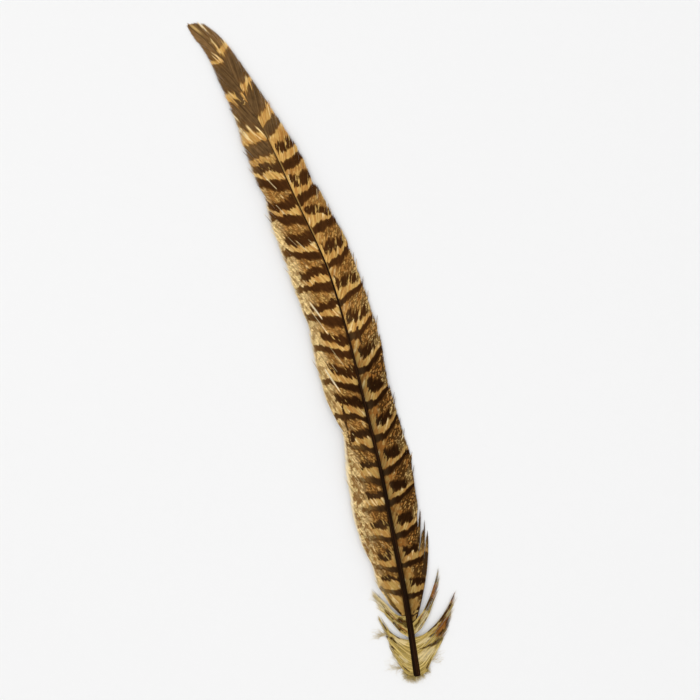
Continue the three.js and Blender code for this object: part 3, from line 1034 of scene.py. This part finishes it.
def barb_reaches(web, random, roots, nick):
    """Shares along a barb, and each barb's reach at them, from inside the shaft to its uneven end."""
    count = len(roots)
    to_tip = SHAFT_LENGTH - roots
    frayed = (nick + np.abs(random.normal(0, UNEVEN_ENDS, count))) * END_LEAN / lean_at(web, roots)
    stray = (random.uniform(0, 1, count) < STRAY_SHARE) * random.uniform(*STRAY_LENGTHS, count)
    frayed -= stray * smooth(to_tip, 40, 90)
    ends = barb_ends(web, roots) - frayed * smooth(to_tip, 2, 12)
    start = BARB_START_PER_WIDTH * shaft_width(roots)
    share = np.linspace(0, 1, BARB_STEPS)[None, :] ** 0.9
    return share, start[:, None] + (ends - start)[:, None] * share


def web_shading(web, random, root, station, reach, share, free, slit_edge_and_light):
    """What the web's shader reads off the mesh at each point."""
    phase = torn_phase(web, random, root, station, reach, free)
    zone, depth = web_marks(web, station, reach, share, phase)
    # The pale paint beside the slits, which is partly painted light through the gaps, joins the web's pale
    # zones.
    zone[..., 0] = np.maximum(zone[..., 0], slit_edge_and_light)
    depth[..., 1] = np.maximum(depth[..., 1], 0.7 * smooth(free, 0.05, 0.3))
    # Painted shade: barbs close to the shaft are darkened on the lower part of the feather, standing in for
    # the shade beside the raised shaft.
    shade_beside_shaft = np.exp(-(reach - 0.5 * shaft_width(station)) / 0.45)
    shade_beside_shaft = np.clip(shade_beside_shaft, 0, 1) * smooth(station, 168, 148)
    # tone is each barb's own random brightness times the painted shade beside the shaft.
    tone = random.uniform(0.88, 1.12, root.shape) * (1 - 0.55 * shade_beside_shaft)
    if web["side"] > 0:
        tone = tone * (1 - 0.26 * smooth(reach, 5, 2) * smooth(station, 150, 130))
    return {
        "plan": stacked(station, web["side"] * reach, root),
        "bars": stacked(phase, smooth(station, *web["soft_tip"]), tone),
        "zone": zone,
        "depth": depth,
    }


def build_web(web, pitch, thickness):
    """One web as several hundred separate barbs that overlap into a sheet."""
    random = np.random.default_rng(web["seed"])
    roots = barb_roots(web, pitch)
    offset, pull, lift, nick = clumps(roots, random)
    share, reach = barb_reaches(web, random, roots, nick)
    root, offset, pull, lift = (values[:, None] for values in (roots, offset, pull, lift))
    station = barb_station(web, root, reach)

    # The barbs of a clump draw together at their ends, and those of a free strand do so more
    station -= offset * pull * share ** 3
    free = np.zeros_like(station)
    for low, high, _, _, end, parts_at in web["free"]:
        strand = ((root >= low) & (root < high)) * smooth(reach, parts_at, end)
        station -= 0.5 * (root - (low + high) / 2) * strand
        free = np.maximum(free, strand)
    shift, slit_edge_and_light = slit_shift(web, roots, reach)
    station += shift

    height = web_height(station, reach, web["span"], web["droop"])
    height += lift * share ** 2 + 0.03 * random.normal(0, 1, root.shape) * share
    height += WAVE_HEIGHT * np.sin(station / WAVE_LENGTH + 1.7 * web["side"]) * (reach / WAVE_REACH) ** 2
    height = np.maximum(height, LOWEST_BARB)
    x, y = on_plan(station, web["side"] * reach)
    centre = np.stack([x, y, height], axis=-1)

    spacing = np.gradient(roots)[:, None]
    slope = np.gradient(barb_station(web, root, reach), axis=1) / np.gradient(reach, axis=1)
    overlapping = BARB_OVERLAP * spacing / np.hypot(1, slope)
    half_width = np.maximum(overlapping, 0.055 + 0.06 * smooth(free, 0, 0.4))
    half_width *= 0.2 + 0.8 * np.clip((1 - share) / web["fray"], 0, 1) ** 0.8
    half_width *= random.uniform(0.94, 1.10, root.shape)
    tilt = web["side"] * random.normal(0.10, 0.06, root.shape)
    body = thickness * (0.35 + 0.65 * np.clip((1 - share) / 0.3, 0, 1))
    marks = web_shading(web, random, root, station, reach, share, free, slit_edge_and_light)
    return barb_strips(
        web["piece"], centre, half_width, 0.4 * body, 0.6 * body, tilt, marks, rows=4,
        material=material("barred_web", web_material), slot="web", node=web["node"],
    )


# ---------------------------------------------------------------------------------------------------
# Tufts and down
# ---------------------------------------------------------------------------------------------------

TUFT_TIP_HEIGHT = 0.5
TUFT_FALL_POWER = 1.5
TUFT_BARB_THICKNESS = 0.14
BROWN, RUST, CREAM = 0, 1, 2

# Barbs of a tuft stand in locks: the share of barbs that start a new one, and how far the ends of a lock
# are drawn to its middle
LOCK_SHARE = 0.15
LOCK_PULL = 0.55

# How far the barbs halfway up a tuft are straightened
TUFT_STRAIGHTNESS = 0.65

# Marks on the tufts run along the barbs: colour, station and reach of both ends, half width
TUFTS = (
    {
        "node": "right_upper_tuft", "side": 1, "edges": RIGHT_UPPER_TUFT, "barbs": 44, "ends": (0.60, 1.0),
        "seed": 31, "marks": (
            (CREAM, 18.4, 2.0, 24.6, 8.0, 0.3), (BROWN, 20.8, 2.2, 22.8, 4.4, 0.40),
            (RUST, 23.0, 4.0, 26.6, 8.0, 0.18),
            (BROWN, 19.4, 3.4, 23.2, 7.2, 0.18), (BROWN, 27.2, 8.0, 30.0, 10.2, 1.0),
            (RUST, 30.6, 10.8, 35.2, 13.2, 0.9), (BROWN, 33.0, 12.8, 34.6, 13.6, 0.25),
            (BROWN, 37.2, 14.0, 38.4, 14.5, 0.7), (BROWN, 41.0, 14.9, 43.0, 15.5, 0.5),
        ),
    },
    {
        "node": "right_lower_tuft", "side": 1, "edges": RIGHT_LOWER_TUFT, "barbs": 130, "ends": (0.40, 1.0),
        "seed": 37, "marks": (
            (CREAM, 7.6, 3.0, 9.4, 7.6, 1.2), (CREAM, 13.2, 2.6, 15.0, 7.0, 0.5),
            (BROWN, 10.9, 2.8, 12.0, 7.6, 0.28), (BROWN, 12.0, 7.6, 13.6, 12.0, 0.60),
            (BROWN, 17.8, 7.4, 20.6, 11.6, 0.30), (BROWN, 21.6, 13.2, 24.6, 15.8, 0.60),
            (RUST, 16.0, 11.2, 20.8, 15.4, 1.45), (BROWN, 15.4, 11.2, 17.6, 13.8, 0.45),
            (BROWN, 18.4, 15.0, 21.6, 16.6, 0.45), (BROWN, 21.0, 12.6, 22.0, 14.6, 0.40),
            (BROWN, 15.4, 7.0, 16.2, 9.4, 0.25), (CREAM, 23.2, 15.0, 24.8, 16.6, 0.45),
            (BROWN, 25.6, 16.8, 27.0, 18.2, 0.50), (RUST, 27.4, 18.4, 31.6, 20.4, 0.5),
            (BROWN, 28.8, 18.6, 30.4, 19.8, 0.40), (BROWN, 2.6, 4.2, 6.0, 6.6, 0.20),
            (CREAM, 19.6, 13.4, 20.8, 14.6, 0.30), (BROWN, 19.6, 14.8, 21.0, 15.6, 0.30),
        ),
    },
    {
        "node": "left_upper_tuft", "side": -1, "edges": LEFT_UPPER_TUFT, "barbs": 76, "ends": (0.50, 1.0),
        "seed": 41, "marks": (
            (CREAM, 30.5, 10.8, 38.6, 13.2, 1.7), (CREAM, 28.0, 6.6, 33.0, 9.4, 0.35),
            (BROWN, 22.0, 1.8, 24.2, 4.0, 1.0), (BROWN, 20.0, 4.4, 23.4, 6.6, 0.30),
            (BROWN, 18.4, 2.4, 20.6, 4.2, 0.22),
            (RUST, 18.8, 1.6, 22.0, 4.6, 0.30), (RUST, 24.0, 5.0, 28.4, 8.0, 0.18),
            (BROWN, 25.0, 6.6, 29.0, 9.2, 0.22), (CREAM, 27.4, 5.6, 30.4, 7.6, 0.4),
            (BROWN, 34.4, 10.0, 38.6, 12.8, 0.14), (BROWN, 30.4, 9.4, 33.0, 10.6, 0.16),
        ),
    },
    {
        "node": "left_lower_tuft", "side": -1, "edges": LEFT_LOWER_TUFT, "barbs": 120, "ends": (0.42, 1.0),
        "seed": 43, "marks": (
            (BROWN, 15.2, 7.0, 17.2, 8.6, 0.45), (BROWN, 16.2, 4.8, 20.0, 8.8, 0.16),
            (BROWN, 20.5, 9.8, 27.0, 11.9, 0.22), (BROWN, 12.0, 7.4, 13.6, 8.6, 0.30),
            (BROWN, 17.6, 10.0, 18.8, 11.4, 0.30), (CREAM, 14.6, 3.4, 16.2, 6.4, 0.8),
            (CREAM, 6.6, 3.4, 9.0, 6.0, 0.4), (BROWN, 2.4, 3.0, 5.0, 5.6, 0.20),
        ),
    },
)


def as_complex(points, samples=40):
    """A smooth curve through (station, reach) points, evenly spaced, as complex numbers."""
    curve = catmull_rom(points, samples)
    steps = np.concatenate([[0], np.cumsum(np.linalg.norm(np.diff(curve, axis=0), axis=1))])
    share = np.linspace(0, 1, 200)
    line = curve[:, 0] + 1j * curve[:, 1]
    return np.interp(share, steps / steps[-1], line)


def tuft_paths(tuft, random):
    """Shares along a barb, each barb's root, and its points at the shares, as complex (station, reach)."""
    count = tuft["barbs"]
    upper, lower = (as_complex(tuft["edges"][key]) for key in ("upper", "lower"))
    along = np.linspace(0, 1, len(lower))
    order = np.linspace(0, 1, count)
    root = lower[0] + (upper[0] - lower[0]) * order
    first, last = tuft["ends"]
    lock = np.cumsum(random.uniform(0, 1, count) < LOCK_SHARE)
    locks = lock.max() + 1
    shift = random.normal(0, 0.055, locks)[lock] - np.abs(random.normal(0, 0.03, count))
    reached = np.clip(first + (last - first) * order ** 0.9 + shift * (1 - order), 0.1, 1)
    end = np.interp(reached, along, lower)
    middle = np.bincount(lock, reached) / np.maximum(np.bincount(lock), 1)
    end += LOCK_PULL * (np.interp(middle[lock], along, lower) - end)

    # The highest barb has the shape of the upper edge, and the lowest one runs along the lower edge
    share = np.linspace(0, 1, 24)
    line = np.interp(share, along, upper)
    shape = (line - line[0]) / (line[-1] - line[0])
    path = root[:, None] + (end - root)[:, None] * shape[None, :]
    low_path = np.interp(reached[:, None] * share[None, :], along, lower)
    low_path += (root - lower[0])[:, None] * (1 - share)[None, :]
    path += (low_path - path) * (1 - order[:, None])
    straight = root[:, None] + (end - root)[:, None] * share[None, :]
    path += TUFT_STRAIGHTNESS * (straight - path) * np.sin(np.pi * order)[:, None]

    # A few barbs stray further than the rest
    stray = np.where(random.uniform(0, 1, (count, 1)) < 0.15, 2.4, 0.8)
    loose = random.normal(0, 0.32, (count, 1)) + 1j * random.normal(0, 0.28, (count, 1))
    return share, root, path + stray * loose * share ** 2


def tuft_colours(tuft, station, reach):
    """How much brown, rust and cream each point shows."""
    shown = np.zeros((*station.shape, 3))
    for colour, *line in tuft["marks"]:
        strength = 0.85 * np.exp(-0.5 * along_line(station, reach, *line) ** 2)
        shown[..., colour] = np.maximum(shown[..., colour], strength)
    return shown


def build_tuft(tuft):
    """Loose barbs that follow the tuft's upper edge and end one after another along its lower edge."""
    random = np.random.default_rng(tuft["seed"])
    count, side = tuft["barbs"], tuft["side"]
    share, root, path = tuft_paths(tuft, random)
    station, reach = path.real, path.imag
    base = root_height(root.real)[:, None]
    height = base + (TUFT_TIP_HEIGHT - base) * share[None, :] ** TUFT_FALL_POWER
    height += random.normal(0, 0.14, (count, 1)) * share
    height = np.maximum(height, 0.15)
    x, y = on_plan(station, side * reach)
    centre = np.stack([x, y, height], axis=-1)

    # A barb is about as wide as the gap to its neighbours, within limits
    gap = np.gradient(path, axis=0)
    turn = np.abs(np.sin(np.angle(gap) - np.angle(np.gradient(path, axis=1))))
    half_width = np.clip(0.55 * np.abs(gap) * turn, 0.06, 0.16)
    half_width = half_width * (0.15 + 0.85 * np.clip((1 - share) / 0.3, 0, 1))
    half_width *= random.uniform(0.75, 1.15, (count, 1))
    tilt = random.normal(0, 0.12, (count, 1))
    body = TUFT_BARB_THICKNESS * (0.5 + 0.5 * np.clip((1 - share) / 0.4, 0, 1))

    tone = np.broadcast_to(random.uniform(0, 1, (count, 1)), reach.shape)
    marks = {
        "plan": stacked(station, side * reach, root.real[:, None]),
        "marks": tuft_colours(tuft, station, reach),
        "tone": stacked(tone, tone, tone),
    }
    return barb_strips(
        tuft["node"] + "_barbs", centre, half_width, 0.4 * body, 0.6 * body, tilt, marks, rows=1,
        material=material("loose_barbs", tuft_material), slot="tuft", node=tuft["node"],
    )


# Down: thickness of a strand at its root, points along a strand, and seed of its random numbers
DOWN_THICKNESS = 0.08
DOWN_STEPS = 9
DOWN_SEED = 59

# Wisps of down: station and reach where each starts, its heading in degrees from the shaft, its length,
# how far its strands spread, and its share of the strands
DOWN_WISPS = (
    (0.9, -2.6, 212, 3.6, 0.9, 5), (0.6, -0.6, 188, 3.8, 0.9, 6), (0.9, 1.6, 160, 2.8, 0.9, 3),
    (2.4, -4.0, 238, 2.4, 0.9, 3), (2.0, 3.8, 122, 2.4, 0.9, 3), (18.6, -10.6, 276, 6.4, 0.14, 1),
    (4.6, -5.4, 278, 7.0, 0.18, 1), (5.8, 6.0, 76, 6.2, 0.18, 1), (9.0, -6.6, 262, 3.0, 0.7, 1),
    (33.0, -10.6, 318, 5.0, 0.3, 1),
)


def build_down(count):
    """Fine curling strands that spread from the cut quill and the tufts' edges."""
    random = np.random.default_rng(DOWN_SEED)
    share = np.linspace(0, 1, DOWN_STEPS)[None, :]
    wisps = np.repeat(np.array(DOWN_WISPS), np.array(DOWN_WISPS)[:, 5].astype(int), axis=0)
    wisp = wisps[np.arange(count) % len(wisps)]
    start_station = wisp[:, 0] + random.uniform(-0.8, 0.8, count)
    start_reach = wisp[:, 1] + random.uniform(-0.8, 0.8, count)
    heading = np.radians(wisp[:, 2] + 28 * wisp[:, 4] * random.normal(0, 1, count))[:, None]
    length = (wisp[:, 3] * random.uniform(0.4, 1.0, count))[:, None]
    curl = random.normal(0, 0.7, (count, 1))
    turn = heading + curl * share + 0.5 * random.normal(0, 1, (count, 1)) * np.sin(5 * share)
    step = length / (DOWN_STEPS - 1)
    station = start_station[:, None] + np.cumsum(np.cos(turn) * step, axis=1)
    reach = start_reach[:, None] + np.cumsum(np.sin(turn) * step, axis=1)
    base = random.uniform(0.4, 1.1, (count, 1))
    base += 1.6 * (random.uniform(0, 1, (count, 1)) < 0.25) * (start_station[:, None] < 1.2)
    height = base + (random.uniform(0.15, 1.0, (count, 1)) - base) * share
    x, y = on_plan(station, reach)
    centre = np.stack([x, y, np.maximum(height, 0.1)], axis=-1)
    half_width = 0.5 * DOWN_THICKNESS * (0.35 + 0.65 * (1 - share))
    marks = {"plan": stacked(station, reach, start_station[:, None])}
    return barb_strips(
        "quill_down", centre, half_width, half_width, half_width, np.zeros((1, 1)), marks, rows=2,
        material=material("quill_down_pale", down_material), slot="tuft",
    )


# ---------------------------------------------------------------------------------------------------
# Stage
# ---------------------------------------------------------------------------------------------------

# Middle of the camera's view, in millimetres, and its turn in degrees
VIEW_MIDDLE = (18.54, 136.4, 4.0)
VIEW_TURN = -19.4

# The floor, in metres: radius of its flat part, and radius and height of the rim that it curves up to
FLOOR_FLAT = 2.5
FLOOR_RIM = 4.0
FLOOR_RISE = 2.0

# The soft light, in metres: width, and place from the middle of the view
LIGHT_SIZE = 1.6
LIGHT_PLACE = (-0.12, 0.15, 1.4)


def add_camera(settings, middle):
    """Camera straight above the middle of the view."""
    camera = bpy.data.objects.new("camera", bpy.data.cameras.new("camera"))
    camera.data.lens = settings.lens
    distance = settings.field * settings.lens / camera.data.sensor_width
    camera.location = middle + Vector((0, 0, distance))
    camera.rotation_euler = (0, 0, math.radians(VIEW_TURN))
    bpy.context.scene.collection.objects.link(camera)
    bpy.context.scene.camera = camera


def add_floor(settings):
    """Round pale floor, flat under the feather and curving up far away."""
    sides = 96
    profile = [
        (FLOOR_FLAT + (FLOOR_RIM - FLOOR_FLAT) * math.sin(bend), FLOOR_RISE * (1 - math.cos(bend)))
        for bend in np.linspace(0, math.pi / 2, 12)
    ]
    turns = [2 * math.pi * k / sides for k in range(sides)]
    vertices = [(0, 0, 0)]
    for radius, height in profile:
        vertices += [(radius * math.cos(turn), radius * math.sin(turn), height) for turn in turns]
    faces = [(0, 1 + k, 1 + (k + 1) % sides) for k in range(sides)]
    for ring in range(len(profile) - 1):
        here = 1 + ring * sides
        for k in range(sides):
            faces.append((here + k, here + sides + k, here + sides + (k + 1) % sides, here + (k + 1) % sides))
    mesh = bpy.data.meshes.new("floor")
    mesh.from_pydata(vertices, [], faces)
    mesh.shade_smooth()
    mesh.materials.append(floor_material(settings))
    floor = bpy.data.objects.new("floor", mesh)
    bpy.context.scene.collection.objects.link(floor)


def add_light(settings, middle):
    """One large soft light overhead, and even light from all round."""
    light = bpy.data.objects.new("soft_light", bpy.data.lights.new("soft_light", "AREA"))
    light.data.size = LIGHT_SIZE
    light.data.energy = settings.key_power
    light.location = middle + Vector(LIGHT_PLACE)
    light.rotation_euler = (middle - light.location).to_track_quat("-Z", "Y").to_euler()
    bpy.context.scene.collection.objects.link(light)

    world = bpy.data.worlds.new("even_light")
    world.use_nodes = True
    background = world.node_tree.nodes["Background"]
    background.inputs["Color"].default_value = (1, 1, 1, 1)
    background.inputs["Strength"].default_value = settings.fill
    bpy.context.scene.world = world


def build_stage(settings):
    """Camera straight above the feather, a pale floor that curves up far away, and soft light."""
    middle = Vector((np.array(VIEW_MIDDLE) + OFFSET) * MM)
    add_camera(settings, middle)
    add_floor(settings)
    add_light(settings, middle)
    bpy.context.scene.view_settings.view_transform = "Standard"


# ---------------------------------------------------------------------------------------------------
# Operators and panel
# ---------------------------------------------------------------------------------------------------

class FEATHER_OT_stage(bpy.types.Operator):
    """Add the camera, the floor and the light"""

    bl_idname = "feather.stage"
    bl_label = "Stage"

    def execute(self, context):
        build_stage(context.scene.feather_stage)
        return {"FINISHED"}


class FEATHER_OT_shaft(bpy.types.Operator):
    """Add the quill and shaft"""

    bl_idname = "feather.shaft"
    bl_label = "Shaft"

    def execute(self, context):
        build_shaft()
        return {"FINISHED"}


class FEATHER_OT_webs(bpy.types.Operator):
    """Add the left and right webs, barb by barb"""

    bl_idname = "feather.webs"
    bl_label = "Webs"

    def execute(self, context):
        sizes = context.scene.feather_sizes
        for web in (LEFT_WEB, RIGHT_WEB):
            build_web(web, sizes.barb_pitch / MM, sizes.barb_thickness / MM)
        return {"FINISHED"}


class FEATHER_OT_tufts(bpy.types.Operator):
    """Add the loose tufts below the webs"""

    bl_idname = "feather.tufts"
    bl_label = "Tufts"

    def execute(self, context):
        for tuft in TUFTS:
            build_tuft(tuft)
        return {"FINISHED"}


class FEATHER_OT_down(bpy.types.Operator):
    """Add the down at the quill"""

    bl_idname = "feather.down"
    bl_label = "Down"

    def execute(self, context):
        build_down(context.scene.feather_sizes.down_strands)
        return {"FINISHED"}


class FEATHER_PT_build(bpy.types.Panel):
    """Feather sizes, colours, stage and building steps"""

    bl_label = "Pheasant Tail Feather"
    bl_space_type = "VIEW_3D"
    bl_region_type = "UI"
    bl_category = "Feather"

    def draw(self, context):
        for name, kind in GROUPS:
            box = self.layout.box()
            for value in kind.__annotations__:
                box.prop(getattr(context.scene, name), value)
        for operator in OPERATORS:
            self.layout.operator(operator.bl_idname)


GROUPS = (
    ("feather_sizes", FeatherSizes),
    ("feather_colours", FeatherColours),
    ("feather_stage", FeatherStage),
)
OPERATORS = (FEATHER_OT_stage, FEATHER_OT_shaft, FEATHER_OT_webs, FEATHER_OT_tufts, FEATHER_OT_down)


def register():
    for name, group in GROUPS:
        bpy.utils.register_class(group)
        setattr(bpy.types.Scene, name, PointerProperty(type=group))
    for item in (*OPERATORS, FEATHER_PT_build):
        bpy.utils.register_class(item)


def unregister():
    for item in (FEATHER_PT_build, *reversed(OPERATORS)):
        bpy.utils.unregister_class(item)
    for name, group in reversed(GROUPS):
        delattr(bpy.types.Scene, name)
        bpy.utils.unregister_class(group)


def main():
    """Builds the feather on its stage."""
    register()
    bpy.ops.feather.stage()
    bpy.ops.feather.shaft()
    bpy.ops.feather.webs()
    bpy.ops.feather.tufts()
    bpy.ops.feather.down()


if __name__ == "__main__":
    main()
